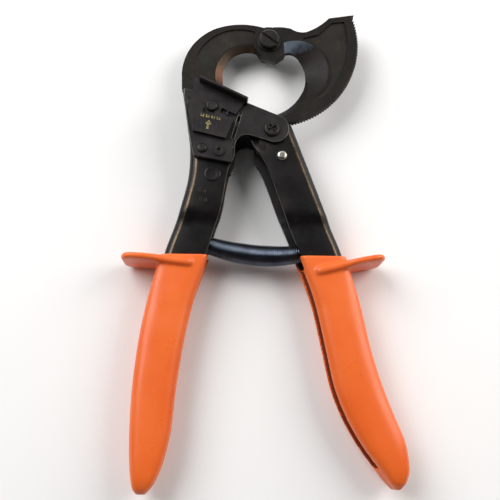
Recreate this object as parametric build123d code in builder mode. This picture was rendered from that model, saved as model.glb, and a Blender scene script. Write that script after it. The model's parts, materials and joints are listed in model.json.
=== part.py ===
"""Ratchet cable cutter: hooked blades, a one-hand ratchet head and dipped channel handles.

The tool lies on its back. +X is right, +Y is towards the jaws, +Z is up, away from the surface
it rests on. Sketches are drawn from the jaw pivot's axis, on planes counted from the layer
where the two blades slide on each other.
"""

from build123d import *
import os
from math import cos, pi, radians, sin

# ---- Driving dimensions, in millimetres and degrees -------------------------------------------

JAW_X, JAW_Y = 3.45, 113.65  # jaw pivot axis, from the centre of the tool's footprint
MID_Z = 13.2  # height of the layer between the blades, over the resting plane

BLADE = 5.0  # thickness of each blade
SLIDE_GAP = 0.05  # half of the running gap between the blades
EDGE_LAND = 0.4  # steel left under the ground cutting edges

CREST_R = 50.6  # ratchet rim, over the tooth crests
TOOTH_DEPTH = 1.2
TOOTH_PITCH = 2.0
RIM_FIRST, RIM_LAST = 20.0, -116.0  # angles of the blade's tip and toe on the rim

SHEET = 2.0  # pressed steel of the handles and of the frame plates
HEAD_HALF = 9.0  # half thickness of the fixed handle where the frame plates lie on it
MOVING_HALF = 8.7  # the moving handle runs between the frame plates
THROUGH = 12.0  # cuts of this half height go right through the handles
NECK_HALF = 6.8  # half thickness of both handles below their joggle
BEND_R = 4.2  # outside radius of the channels' bends
PLATE_TOP = HEAD_HALF + SHEET

PIVOT = (1.1, -55.4)  # moving handle's pivot
SLEEVE_R = 4.0
PIVOT_SCREW_R = 2.5
FIT = 0.05  # radial clearance of running fits

COAT = 1.8  # vinyl on the steel
GRIP_HALF = NECK_HALF + COAT
GRIP_EDGE = 4.6  # rounding along the grips
GUARD_HALF = MID_Z  # the finger guards reach down to the resting plane
GUARD_THICK = 4.0

HAND_PAWL = (6.7, -69.6)  # drive pawl's pin, on the moving handle
SPRING_PIN = (-3.8, -64.7)  # anchors the drive pawl's spring
HOLD_PAWL = (-39.0, -48.5)  # holding pawl's pin, on the frame
SPRING_PIN_R = 1.2
PIN_R = 2.0  # both pawls' pins and the rivets through the tang
PAWL_LOW, PAWL_HIGH = 0.4, 4.8  # the pawls lie in the moving blade's layer
PAWL_GAP = 0.35  # from the pawls' teeth to the rim's crests

RELEASE = (-39.0, -31.0)  # left end of the thumb tab's root
RELEASE_TURN = -25.5
TAB_LENGTH = 28.5
TAB_TOP = 19.0
TAB_FACE, TAB_THICK = 3.1, 1.5  # upper face of the thumb tab, across its root
SLIDER_LOW, SLIDER_HIGH = 11.2, 12.7
COVER_LOW, COVER_HIGH = 13.6, 15.0
FOOT_HIGH = PLATE_TOP + 1.4
RELEASE_TRAVEL = 3.0
SLOT_GAP = 0.4  # around the stud in the slots it travels in
STUD = (12.3, -8.1)  # release stud, along and across the tab
STUD_FOOT_R, STUD_HEAD_R = 1.6, 3.1

# Fixed handle: height along Y, outer and inner edge along X, half thickness
FIXED_CHANNEL = [
    (-28.0, -48.2, -17.0, HEAD_HALF),
    (-70.0, -42.8, -18.6, HEAD_HALF),
    (-77.0, -43.0, -21.5, HEAD_HALF),
    (-98.0, -47.0, -25.1, HEAD_HALF),
    (-110.0, -50.7, -28.9, NECK_HALF),
    (-124.0, -55.4, -33.0, NECK_HALF),
]
BOSS = (-30.6, -80.6)
# Moving handle, in the same columns
MOVING_CHANNEL = [
    (-49.0, 11.6, -7.6, MOVING_HALF),
    (-66.5, 17.9, -7.6, MOVING_HALF),
    (-75.5, 21.2, -3.4, MOVING_HALF),
    (-99.0, 29.7, 5.1, MOVING_HALF),
    (-111.0, 34.0, 9.5, NECK_HALF),
    (-124.0, 39.0, 14.8, NECK_HALF),
]
# Grips: height along Y, left and right edge along X, half thickness
FIXED_GRIP = [
    (-124.4, -57.2, -31.6, GRIP_HALF),
    (-150.0, -63.9, -39.9, GRIP_HALF),
    (-175.0, -67.9, -44.9, GRIP_HALF),
    (-199.0, -69.8, -48.0, GRIP_HALF),
    (-213.0, -70.0, -49.2, GRIP_HALF),
    (-226.0, -69.6, -51.8, GRIP_HALF),
    (-237.0, -68.6, -55.6, 8.0),
    (-242.6, -67.4, -59.2, 6.2),
    (-245.0, -65.6, -61.6, 3.6),
]
MOVING_GRIP = [
    (-124.4, 14.0, 40.7, GRIP_HALF),
    (-149.0, 22.5, 47.9, GRIP_HALF),
    (-174.0, 28.0, 53.3, GRIP_HALF),
    (-192.0, 31.8, 58.6, GRIP_HALF),
    (-207.0, 37.4, 64.2, GRIP_HALF),
    (-221.0, 45.2, 69.4, GRIP_HALF),
    (-232.0, 53.2, 70.7, 8.0),
    (-239.2, 58.6, 68.8, 6.4),
    (-242.4, 61.8, 66.0, 3.6),
]
STEEL_ROWS = 5  # the steel ends short of the grips' tips

os.makedirs("parts", exist_ok=True)


# ---- Planes and small helpers -----------------------------------------------------------------


def layer(z, x=0.0, y=0.0, turn=0.0):
    """A level plane at height z from the blades' layer, with its origin at x, y from the jaw pivot."""
    heading = (cos(radians(turn)), sin(radians(turn)), 0)
    return Plane(origin=(JAW_X + x, JAW_Y + y, MID_Z + z), x_dir=heading, z_dir=(0, 0, 1))


def crosscut(y):
    """An upright plane across the handles: its axes are X and Z."""
    return Plane(origin=(JAW_X, JAW_Y + y, MID_Z), x_dir=(1, 0, 0), z_dir=(0, -1, 0))


def upright(along, out, x, y, turn):
    """An upright plane: its axes are the heading turn and Z. Its origin is moved along both headings."""
    heading = Vector(cos(radians(turn)), sin(radians(turn)), 0)
    normal = Vector(sin(radians(turn)), -cos(radians(turn)), 0)
    origin = Vector(JAW_X + x, JAW_Y + y, MID_Z) + heading * along + normal * out
    return Plane(origin=origin, x_dir=heading, z_dir=normal)


def on_circle(radius, angle, centre=(0.0, 0.0)):
    return (centre[0] + radius * cos(radians(angle)), centre[1] + radius * sin(radians(angle)))


def disc(centre, radius, low, high, mode=Mode.ADD):
    """A round boss or hole in the part being built."""
    with BuildSketch(layer(low, *centre)) as face:
        Circle(radius)
    extrude(face.sketch, amount=high - low, mode=mode)


def slab(points, low, high, mode=Mode.ADD):
    """A flat piece of polygonal outline in the part being built."""
    with BuildSketch(layer(low)) as face:
        with BuildLine():
            Polyline(*points, close=True)
        make_face()
    extrude(face.sketch, amount=high - low, mode=mode)


def cone(centre, low, low_radius, high, high_radius, mode):
    """A cone in the part being built."""
    with BuildSketch(layer(low, *centre)) as below:
        Circle(low_radius)
    with BuildSketch(layer(high, *centre)) as above:
        Circle(high_radius)
    loft([below.sketch, above.sketch], ruled=True, mode=mode)


def save(part, name):
    part.label = name
    export_step(part, f"parts/{name}.step")


def stud_slot(low, high, radius):
    """Cuts the slot in which the release stud travels down."""
    with BuildSketch(layer(low, *RELEASE, RELEASE_TURN)) as slot:
        with Locations((STUD[0], STUD[1] - RELEASE_TRAVEL / 2)):
            SlotOverall(RELEASE_TRAVEL + 2 * radius, 2 * radius, rotation=90)
    extrude(slot.sketch, amount=high - low, mode=Mode.SUBTRACT)


def bore_pin(centre, low, high, radius, head_radius, head_high, foot_low=None):
    """A headed pin, with a second head set at its foot where one is asked for."""
    disc(centre, radius, low, high)
    disc(centre, head_radius, high, head_high)
    if foot_low is not None:
        disc(centre, head_radius, foot_low, low)


def rim_points(first, last):
    """Saw teeth along the rim, clockwise: the steep flanks are the ones that the pawls push."""
    count = round((first - last) / TOOTH_PITCH)
    points = []
    for tooth in range(count):
        angle = first - tooth * TOOTH_PITCH
        points.append(on_circle(CREST_R - TOOTH_DEPTH, angle))
        points.append(on_circle(CREST_R, angle - 0.1 * TOOTH_PITCH))
    points.append(on_circle(CREST_R - TOOTH_DEPTH, last))
    return points


# ---- Blades -----------------------------------------------------------------------------------

HOOK_CENTRE, HOOK_R = (-11.2, -18.8), 14.8  # cutting edge of the fixed hook
PIVOT_SHANK_R = 4.0
BUSH_R = 5.6
TANG_RIVETS = [(-36.3, -67.4), (-27.2, -68.8)]
HOOK_EDGE = -1.7  # height of the hook's cutting edge, between its two bevels
PANEL_DEPTH = 0.9  # pressed panel and pocket in the blades' front faces
POCKET_DEPTH = 1.0

with BuildPart() as fixed_blade:
    with BuildSketch(layer(-BLADE)):
        with BuildLine():
            hub = ThreePointArc(on_circle(10.6, -32), on_circle(10.6, 30), on_circle(10.6, 95))
            crown = ThreePointArc(hub @ 1, (-17.0, 12.8), (-31.0, 9.5))
            shoulder = ThreePointArc(crown @ 1, (-43.4, -1.2), (-48.9, -18.0))
            Polyline(
                shoulder @ 1,
                (-48.6, -27.6),
                (-45.4, -29.4),
                (-43.1, -45.0),
                (-40.7, -62.0),
                (-39.7, -73.5),
                (-22.0, -77.0),
                (-19.5, -60.0),
                (-20.5, -48.0),
                (-22.6, -38.0),
                (-25.4, -28.0),
                (HOOK_CENTRE[0] - HOOK_R, HOOK_CENTRE[1]),
            )
            hook = ThreePointArc(
                (HOOK_CENTRE[0] - HOOK_R, HOOK_CENTRE[1]),
                on_circle(HOOK_R, 135, HOOK_CENTRE),
                on_circle(HOOK_R, 82, HOOK_CENTRE),
            )
            beak = ThreePointArc(hook @ 1, (-3.2, -6.7), (2.8, -10.8))
            Line(beak @ 1, hub @ 0)
        make_face()
    extrude(amount=BLADE - SLIDE_GAP)
    # Ground cutting edge: a narrow bevel in front and a wide one behind
    cone(HOOK_CENTRE, HOOK_EDGE, HOOK_R, 0.0, HOOK_R + 4.2, Mode.SUBTRACT)
    cone(HOOK_CENTRE, -BLADE, HOOK_R + 5.0, HOOK_EDGE - EDGE_LAND, HOOK_R, Mode.SUBTRACT)
    # Pressed panel on the front face
    with BuildSketch(layer(-PANEL_DEPTH)):
        with BuildLine():
            brow = ThreePointArc((-7.6, 8.4), (-28.4, 6.8), (-40.8, -7.0))
            Polyline(brow @ 1, (-30.6, -26.0), (-12.0, -26.0), (-7.6, -4.0), brow @ 0)
        make_face()
        with Locations(HOOK_CENTRE):
            Circle(HOOK_R + 5.2, mode=Mode.SUBTRACT)
    extrude(amount=2.0, mode=Mode.SUBTRACT)
    disc((0, 0), PIVOT_SHANK_R, -BLADE, 0, Mode.SUBTRACT)
    for spot in TANG_RIVETS + [HOLD_PAWL]:
        disc(spot, PIN_R, -BLADE, 0, Mode.SUBTRACT)
save(fixed_blade.part, "fixed_blade")

GRIND_CENTRE, GRIND_R = (15.5, -17.0), 17.8  # wide ground bevel of the moving blade
GRIND_FOOT_R = 5.0  # the bevel's radius down at the cutting edge
THROAT_CENTRE, THROAT_R = (-5.0, -18.0), 26.2  # cutting edge towards the toe

with BuildPart() as crescent_grind:
    slab([(8.9, -40), (8.9, -8), (7.6, 8), (40, 8), (40, -40)], 0, BLADE)
    cone(GRIND_CENTRE, EDGE_LAND, GRIND_FOOT_R, BLADE, GRIND_R, Mode.INTERSECT)

with BuildPart() as throat_grind:
    slab([(-36, -22), (24, -22), (40, -14), (40, -60), (-36, -60)], 0, BLADE)
    cone(THROAT_CENTRE, EDGE_LAND, THROAT_R, BLADE, THROAT_R + 4.0, Mode.INTERSECT)

with BuildPart() as moving_blade:
    with BuildSketch(layer(SLIDE_GAP)):
        with BuildLine():
            teeth = rim_points(RIM_FIRST, RIM_LAST)
            Polyline(*teeth)
            toe = on_circle(THROAT_R, -127, THROAT_CENTRE)
            Line(teeth[-1], toe)
            throat = ThreePointArc(
                toe, on_circle(THROAT_R, -80, THROAT_CENTRE), on_circle(THROAT_R, -29, THROAT_CENTRE)
            )
            belly = ThreePointArc(throat @ 1, (20.8, -19.6), (17.4, -9.9))
            lobe = ThreePointArc(belly @ 1, (13.2, -6.1), (9.2, -6.3))
            chin = ThreePointArc(lobe @ 1, (6.9, -8.8), (3.4, -11.7))
            jowl = ThreePointArc(chin @ 1, (-2.9, -9.7), on_circle(8.8, 222))
            nape = ThreePointArc(jowl @ 1, on_circle(8.8, 150), on_circle(8.8, 78))
            brow = ThreePointArc(nape @ 1, (7.9, 8.9), (12.6, 8.1))
            saddle = ThreePointArc(brow @ 1, (17.2, 6.2), (21.4, 6.4))
            rise = ThreePointArc(saddle @ 1, (27.2, 9.4), (34.2, 15.3))
            Polyline(rise @ 1, (48.6, 17.7), teeth[0])
        make_face()
    extrude(amount=BLADE - SLIDE_GAP)
    add(crescent_grind.part, mode=Mode.SUBTRACT)
    add(throat_grind.part, mode=Mode.SUBTRACT)
    # Pressed pocket in the front face
    with BuildSketch(layer(BLADE - POCKET_DEPTH)):
        Circle(44.9)
        with BuildLine():
            Polyline(
                (19.0, 2.4),
                (27.8, 4.9),
                (35.4, 12.2),
                (44.0, 13.6),
                (52.0, -4.0),
                (42.0, -26.0),
                (27.6, -34.4),
                (24.0, -20.0),
                close=True,
            )
        make_face(mode=Mode.INTERSECT)
        with Locations(GRIND_CENTRE):
            Circle(GRIND_R + 1.3, mode=Mode.SUBTRACT)
    extrude(amount=2.0, mode=Mode.SUBTRACT)
    disc((0, 0), BUSH_R, 0, BLADE, Mode.SUBTRACT)
save(moving_blade.part, "moving_blade")

# ---- Jaw pivot --------------------------------------------------------------------------------

WASHER_LOW, WASHER_HIGH = BLADE + 0.1, BLADE + 0.9
SCREW_TOP = 8.7
PIVOT_NUT = 4.2  # height of the jaw pivot's nut

with BuildPart() as blade_bush:
    disc((0, 0), BUSH_R, SLIDE_GAP, BLADE)
    disc((0, 0), PIVOT_SHANK_R + FIT, 0, BLADE, Mode.SUBTRACT)
save(blade_bush.part, "blade_bush")

with BuildPart() as blade_pivot_washer:
    disc((0, 0), 6.4, WASHER_LOW, WASHER_HIGH)
    disc((0, 0), PIVOT_SHANK_R, 0, WASHER_HIGH, Mode.SUBTRACT)
save(blade_pivot_washer.part, "blade_pivot_washer")

with BuildPart() as blade_pivot_screw:
    disc((0, 0), PIVOT_SHANK_R, -BLADE - PIVOT_NUT - 0.4, WASHER_HIGH)
    disc((0, 0), 5.6, WASHER_HIGH, SCREW_TOP)
    top_rim = blade_pivot_screw.faces().sort_by(Axis.Z)[-1].edges()
    chamfer(top_rim, 0.7)
    with BuildSketch(layer(SCREW_TOP - 1.3, turn=-38)):
        Rectangle(14.0, 1.5)
    extrude(amount=2.0, mode=Mode.SUBTRACT)
save(blade_pivot_screw.part, "blade_pivot_screw")

with BuildPart() as blade_pivot_nut:
    with BuildSketch(layer(-BLADE - PIVOT_NUT)):
        RegularPolygon(7.4, 6)
        Circle(PIVOT_SHANK_R, mode=Mode.SUBTRACT)
    extrude(amount=PIVOT_NUT)
save(blade_pivot_nut.part, "blade_pivot_nut")

# ---- Pressed channels -------------------------------------------------------------------------


def channel_section(y, outer, inner, half):
    """A U open towards the inner edge, with its web along the outer edge."""
    side = 1 if inner > outer else -1
    bend, web = outer + side * BEND_R, outer + side * SHEET
    hollow, straight = half - SHEET, half - BEND_R
    outside, inside = BEND_R * (1 - cos(pi / 4)), (BEND_R - SHEET) * (1 - cos(pi / 4))
    with BuildSketch(crosscut(y)) as section:
        with BuildLine():
            Line((inner, half), (bend, half))
            ThreePointArc((bend, half), (outer + side * outside, half - outside), (outer, straight))
            Line((outer, straight), (outer, -straight))
            ThreePointArc((outer, -straight), (outer + side * outside, outside - half), (bend, -half))
            Polyline((bend, -half), (inner, -half), (inner, -hollow), (bend, -hollow))
            ThreePointArc((bend, -hollow), (web + side * inside, inside - hollow), (web, -straight))
            Line((web, -straight), (web, straight))
            ThreePointArc((web, straight), (web + side * inside, hollow - inside), (bend, hollow))
            Polyline((bend, hollow), (inner, hollow), (inner, half))
        make_face()
    return section.sketch


def inset_grip(stations, outer_is_left):
    """The channel's stations inside a grip, one coat of vinyl in from its edges."""
    rows = []
    for y, left, right, half in stations[1 : STEEL_ROWS + 1]:
        outer, inner = (left + COAT, right - COAT) if outer_is_left else (right - COAT, left + COAT)
        rows.append((y, outer, inner, NECK_HALF))
    return rows


def channel(stations):
    """Lofts the pressed channel in the part being built."""
    loft([channel_section(*row) for row in stations], ruled=True)


with BuildPart() as fixed_handle:
    channel(FIXED_CHANNEL + inset_grip(FIXED_GRIP, True))
    # The flanges' upper end slopes with the thumb tab, and the web stays off the rim
    slab([(-60, -20), (-5, -20), (-5, -50), (-49, -30)], -THROUGH, THROUGH, Mode.SUBTRACT)
    for spot in TANG_RIVETS + [HOLD_PAWL]:
        disc(spot, PIN_R, -THROUGH, THROUGH, Mode.SUBTRACT)
    stud_slot(5.0, 10.0, STUD_FOOT_R + SLOT_GAP)
    # Low round boss pressed in the front flange, over the joggle
    disc(BOSS, 4.4, HEAD_HALF - 0.3, HEAD_HALF + 0.35)
save(fixed_handle.part, "fixed_handle")

with BuildPart() as moving_handle:
    channel(MOVING_CHANNEL + inset_grip(MOVING_GRIP, False))
    # Rounded upper end around the pivot
    with BuildSketch(layer(-THROUGH)):
        with BuildLine():
            crest = ThreePointArc((-9.0, -57.0), (-5.6, -49.8), (1.2, -47.8))
            Polyline(crest @ 1, (8.0, -49.6), (13.4, -51.6), (16.0, -40.0), (-12.0, -40.0), crest @ 0)
        make_face()
    extrude(amount=2 * THROUGH, mode=Mode.SUBTRACT)
    disc(PIVOT, SLEEVE_R + FIT, -THROUGH, THROUGH, Mode.SUBTRACT)
    disc(HAND_PAWL, PIN_R, -THROUGH, THROUGH, Mode.SUBTRACT)
    disc(SPRING_PIN, SPRING_PIN_R, 0, THROUGH, Mode.SUBTRACT)
save(moving_handle.part, "moving_handle")

# ---- Dipped grips with finger guards ----------------------------------------------------------


def grip_section(y, left, right, half):
    with BuildSketch(crosscut(y)) as section:
        with Locations(((left + right) / 2, 0)):
            RectangleRounded(right - left, 2 * half, min(GRIP_EDGE, 0.45 * (right - left), 0.8 * half))
    return section.sketch


def grip(stations, groove_side, steel):
    """A grip with a groove along its inner side, hollowed by the steel that it coats."""
    loft([grip_section(*row) for row in stations], ruled=True)
    lefts = [(left, y) for y, left, right, half in stations[: STEEL_ROWS + 1]]
    rights = [(right, y) for y, left, right, half in stations[: STEEL_ROWS + 1]]
    inner, outer = (rights, lefts) if groove_side > 0 else (lefts, rights)
    floor = [(x + groove_side * (2 * COAT + SHEET), y) for x, y in outer]
    mouth = [(x + groove_side * 6.0, y) for x, y in inner]
    groove_half = NECK_HALF - SHEET - COAT
    slab(mouth + list(reversed(floor)), -groove_half, groove_half, Mode.SUBTRACT)
    # The lining starts below the return spring
    start, end = min(mouth[0][0], floor[0][0]), max(mouth[0][0], floor[0][0])
    relief = [(start, -120.0), (end, -120.0), (end, -131.0), (start, -131.0)]
    slab(relief, SHEET - NECK_HALF, NECK_HALF - SHEET, Mode.SUBTRACT)
    add(steel, mode=Mode.SUBTRACT)


def guard(root, reach, turn, side):
    """A fin across the handle: it stands out on the outer side and runs over both faces."""
    with BuildSketch(upright(0, 0, *root, turn)) as fin:
        with Locations((side * reach / 2, 0)):
            RectangleRounded(reach, 2 * GUARD_HALF, 8.0)
        with Locations((-side * 8.0, 0)):
            RectangleRounded(24.0, 2 * GRIP_HALF + 3.2, 4.0)
    extrude(fin.sketch, amount=GUARD_THICK / 2, both=True)


with BuildPart() as fixed_handle_grip:
    guard((-57.6, -127.2), 19.9, -6.0, -1)
    grip(FIXED_GRIP, 1, fixed_handle.part)
save(fixed_handle_grip.part, "fixed_handle_grip")

with BuildPart() as moving_handle_grip:
    guard((41.6, -128.8), 20.0, 14.0, 1)
    grip(MOVING_GRIP, -1, moving_handle.part)
save(moving_handle_grip.part, "moving_handle_grip")

# ---- Frame plates and the parts between them --------------------------------------------------


def frame_plate(low):
    """Outline shared by both side plates: they tie the fixed handle to the moving handle's pivot."""
    with BuildSketch(layer(low)) as face:
        with BuildLine():
            Polyline((-46.6, -32.4), (-14.8, -42.0), (-13.0, -40.0), (-9.7, -41.2), (7.2, -48.2))
            ThreePointArc((7.2, -48.2), (10.4, -54.6), (7.2, -61.2))
            ThreePointArc((7.2, -61.2), (3.4, -62.5), (-1.0, -61.7))
            Line((-1.0, -61.7), (-10.4, -58.9))
            ThreePointArc((-10.4, -58.9), (-15.4, -59.5), (-18.6, -64.8))
            Polyline((-18.6, -64.8), (-20.2, -67.0), (-20.2, -75.1), (-40.8, -71.4), (-43.6, -58.0))
            Polyline((-43.6, -58.0), (-46.6, -38.0), (-46.6, -32.4))
        make_face()
    extrude(face.sketch, amount=SHEET)
    for spot in TANG_RIVETS + [HOLD_PAWL]:
        disc(spot, PIN_R, low, low + SHEET, Mode.SUBTRACT)
    disc(PIVOT, PIVOT_SCREW_R, low, low + SHEET, Mode.SUBTRACT)


with BuildPart() as front_frame_plate:
    frame_plate(HEAD_HALF)
    stud_slot(HEAD_HALF, PLATE_TOP, STUD_FOOT_R + SLOT_GAP)
    # Inspection slit beside the release, and the access slot at the plate's edge
    slit = [(-16.6, -46.0), (-15.0, -46.4), (-19.2, -61.4), (-20.7, -60.9)]
    slab(slit, HEAD_HALF, PLATE_TOP, Mode.SUBTRACT)
    with BuildSketch(layer(HEAD_HALF, -44.0, -42.4, 4)):
        SlotOverall(4.6, 2.0, rotation=90)
    extrude(amount=SHEET, mode=Mode.SUBTRACT)
save(front_frame_plate.part, "front_frame_plate")

with BuildPart() as rear_frame_plate:
    frame_plate(-PLATE_TOP)
save(rear_frame_plate.part, "rear_frame_plate")

SPACER = [(-38.7, -61.8), (-20.8, -61.8), (-21.2, -76.4), (-37.5, -73.2)]
HOLLOW = HEAD_HALF - SHEET

with BuildPart() as front_tang_spacer:
    slab(SPACER, -SLIDE_GAP, HOLLOW)
    for spot in TANG_RIVETS:
        disc(spot, PIN_R, -SLIDE_GAP, HOLLOW, Mode.SUBTRACT)
save(front_tang_spacer.part, "front_tang_spacer")

with BuildPart() as rear_tang_spacer:
    slab(SPACER, -HOLLOW, -BLADE)
    for spot in TANG_RIVETS:
        disc(spot, PIN_R, -HOLLOW, -BLADE, Mode.SUBTRACT)
save(rear_tang_spacer.part, "rear_tang_spacer")

with BuildPart() as tang_rivet:
    bore_pin(TANG_RIVETS[0], -PLATE_TOP, FOOT_HIGH, PIN_R, 2.7, FOOT_HIGH + 1.3, -PLATE_TOP - 1.2)
    fillet(tang_rivet.faces().sort_by(Axis.Z)[-1].edges(), 1.2)
save(tang_rivet.part, "tang_rivet")

with BuildPart() as tang_eyelet:
    bore_pin(TANG_RIVETS[1], -PLATE_TOP, FOOT_HIGH, PIN_R, 2.8, FOOT_HIGH + 0.9, -PLATE_TOP - 0.9)
    disc(TANG_RIVETS[1], 1.1, FOOT_HIGH, FOOT_HIGH + 1.0, Mode.SUBTRACT)
    fillet(tang_eyelet.edges().filter_by(GeomType.CIRCLE).sort_by(Axis.Z)[-1], 0.35)
save(tang_eyelet.part, "tang_eyelet")

# ---- Moving handle's pivot --------------------------------------------------------------------

with BuildPart() as handle_pivot_sleeve:
    disc(PIVOT, SLEEVE_R, -HEAD_HALF, HEAD_HALF)
    disc(PIVOT, PIVOT_SCREW_R, -HEAD_HALF, HEAD_HALF, Mode.SUBTRACT)
save(handle_pivot_sleeve.part, "handle_pivot_sleeve")

with BuildPart() as handle_pivot_screw:
    # Its foot stays just inside the nut's resting face
    bore_pin(PIVOT, 0.2 - MID_Z, PLATE_TOP, PIVOT_SCREW_R, 4.3, PLATE_TOP + 2.0)
    fillet(handle_pivot_screw.faces().sort_by(Axis.Z)[-1].edges(), 1.1)
    with BuildSketch(layer(PLATE_TOP + 0.7, *PIVOT, 28)):
        Rectangle(5.0, 1.0)
        Rectangle(1.0, 5.0)
    extrude(amount=3.0, mode=Mode.SUBTRACT)
save(handle_pivot_screw.part, "handle_pivot_screw")

with BuildPart() as handle_pivot_nut:
    with BuildSketch(layer(-MID_Z, *PIVOT)):
        RegularPolygon(4.6, 6)
        Circle(PIVOT_SCREW_R, mode=Mode.SUBTRACT)
    extrude(amount=MID_Z - PLATE_TOP)
save(handle_pivot_nut.part, "handle_pivot_nut")

# ---- Ratchet ----------------------------------------------------------------------------------

PAWL_TIP_R = CREST_R + PAWL_GAP


def pawl_teeth(first, count):
    """Teeth that match the rim's, counter-clockwise from first: their steep flanks face the rim's."""
    points = []
    for tooth in range(count):
        angle = first + tooth * TOOTH_PITCH
        points.append(on_circle(PAWL_TIP_R + TOOTH_DEPTH, angle))
        points.append(on_circle(PAWL_TIP_R, angle + 0.1 * TOOTH_PITCH))
    points.append(on_circle(PAWL_TIP_R + TOOTH_DEPTH, first + count * TOOTH_PITCH))
    return points


with BuildPart() as drive_pawl:
    with BuildSketch(layer(PAWL_LOW)):
        with BuildLine():
            tip = pawl_teeth(258.0, 3)
            Polyline(*tip)
            neck = ThreePointArc(tip[-1], (-3.4, -57.6), (1.2, -62.4))
            Line(neck @ 1, (6.7, -65.7))
            Line((6.7, -65.7), (5.6, -73.2))
            ThreePointArc((5.6, -73.2), (-6.4, -65.6), tip[0])
        make_face()
        with Locations(HAND_PAWL):
            Circle(4.0)
            Circle(PIN_R + FIT, mode=Mode.SUBTRACT)
    extrude(amount=PAWL_HIGH - PAWL_LOW)
save(drive_pawl.part, "drive_pawl")

with BuildPart() as drive_pawl_pin:
    bore_pin(HAND_PAWL, -MOVING_HALF, MOVING_HALF, PIN_R, 2.9, MOVING_HALF + 1.8, -MOVING_HALF - 1.0)
    fillet(drive_pawl_pin.faces().sort_by(Axis.Z)[-1].edges(), 1.6)
save(drive_pawl_pin.part, "drive_pawl_pin")

MOVING_HOLLOW = MOVING_HALF - SHEET

with BuildPart() as drive_pawl_spacers:
    for low, high in [(PAWL_HIGH + 0.1, MOVING_HOLLOW), (-MOVING_HOLLOW, PAWL_LOW - 0.1)]:
        disc(HAND_PAWL, 3.3, low, high)
        disc(HAND_PAWL, PIN_R, low, high, Mode.SUBTRACT)
save(drive_pawl_spacers.part, "drive_pawl_spacers")

with BuildPart() as pawl_spring_pin:
    bore_pin(SPRING_PIN, PAWL_HIGH + 0.3, MOVING_HALF, SPRING_PIN_R, 1.9, MOVING_HALF + 0.2)
save(pawl_spring_pin.part, "pawl_spring_pin")

with BuildPart() as drive_pawl_spring:
    disc(HAND_PAWL, 4.5, PAWL_HIGH + 0.2, MOVING_HOLLOW - 0.1)
    slab([(4.6, -66.0), (4.0, -67.4), (-4.4, -67.2), (-4.4, -66.1)], 5.4, 6.4)
    disc(HAND_PAWL, 3.4, PAWL_HIGH + 0.2, MOVING_HOLLOW - 0.1, Mode.SUBTRACT)
save(drive_pawl_spring.part, "drive_pawl_spring")

with BuildPart() as holding_pawl:
    with BuildSketch(layer(PAWL_LOW)):
        with BuildLine():
            tip = pawl_teeth(243.0, 3)
            Polyline(*tip)
            Polyline(tip[-1], (-17.6, -52.6), (-21.6, -54.0), (-39.0, -52.1), (-39.0, -44.9))
            Line((-39.0, -44.9), (-34.6, -46.9))
            ThreePointArc((-34.6, -46.9), (-28.8, -48.4), tip[0])
        make_face()
        with Locations(HOLD_PAWL):
            Circle(3.6)
            Circle(PIN_R + FIT, mode=Mode.SUBTRACT)
    extrude(amount=PAWL_HIGH - PAWL_LOW)
save(holding_pawl.part, "holding_pawl")

with BuildPart() as holding_pawl_pin:
    bore_pin(HOLD_PAWL, -PLATE_TOP, HOLLOW, PIN_R, PIN_R, PLATE_TOP)
    disc(HOLD_PAWL, 3.0, -PLATE_TOP - 1.0, -PLATE_TOP)
save(holding_pawl_pin.part, "holding_pawl_pin")

with BuildPart() as holding_pawl_washer:
    disc(HOLD_PAWL, 2.9, PAWL_HIGH + 0.1, PAWL_HIGH + 1.1)
    disc(HOLD_PAWL, PIN_R, PAWL_HIGH + 0.1, PAWL_HIGH + 1.1, Mode.SUBTRACT)
save(holding_pawl_washer.part, "holding_pawl_washer")

with BuildPart() as holding_pawl_spring:
    with BuildSketch(crosscut(-61.7)) as coil:
        with Locations((-27.0, (PAWL_LOW + PAWL_HIGH) / 2)):
            Circle(1.9)
            Circle(1.3, mode=Mode.SUBTRACT)
    extrude(amount=-8.0)
save(holding_pawl_spring.part, "holding_pawl_spring")

# ---- Release ----------------------------------------------------------------------------------

with BuildPart() as release_slider:
    with BuildSketch(layer(SLIDER_LOW, *RELEASE, RELEASE_TURN)):
        with BuildLine():
            Polyline(
                (-3.7, TAB_FACE),
                (27.4, TAB_FACE),
                (25.6, -6.4),
                (17.6, -6.4),
                (17.6, -17.5),
                (9.0, -17.5),
                (5.4, -12.6),
                (0.7, -10.7),
                close=True,
            )
        make_face()
        with Locations(STUD):
            Circle(2.6, mode=Mode.SUBTRACT)
    extrude(amount=SLIDER_HIGH - SLIDER_LOW)
    with BuildSketch(layer(SLIDER_LOW, *RELEASE, RELEASE_TURN)):
        with Locations((TAB_LENGTH / 2, TAB_FACE - TAB_THICK / 2)):
            Rectangle(TAB_LENGTH, TAB_THICK)
    extrude(amount=TAB_TOP - SLIDER_LOW)
    tab_top = release_slider.faces().sort_by(Axis.Z)[-1]
    fillet(tab_top.edges().sort_by(SortBy.LENGTH)[-2:], 0.5)
save(release_slider.part, "release_slider")

with BuildPart() as release_stud:
    with BuildSketch(layer(PAWL_LOW + 0.2, *RELEASE, RELEASE_TURN)):
        with Locations(STUD):
            Circle(STUD_FOOT_R)
    extrude(amount=SLIDER_LOW - PAWL_LOW - 0.2)
    with BuildSketch(layer(SLIDER_LOW, *RELEASE, RELEASE_TURN)):
        with Locations(STUD):
            Circle(2.6)
    extrude(amount=SLIDER_HIGH - SLIDER_LOW)
    with BuildSketch(layer(SLIDER_HIGH, *RELEASE, RELEASE_TURN)):
        with Locations(STUD):
            Circle(STUD_HEAD_R)
    extrude(amount=2.0)
    fillet(release_stud.faces().sort_by(Axis.Z)[-1].edges(), 0.7)
save(release_stud.part, "release_stud")

COVER = [(-45.0, -40.2), (-19.5, -51.6), (-23.8, -62.4), (-41.2, -58.4)]
FOOT = [(-41.2, -58.4), (-23.8, -62.4), (-20.0, -63.4), (-20.2, -75.1), (-40.4, -71.4)]

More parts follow.
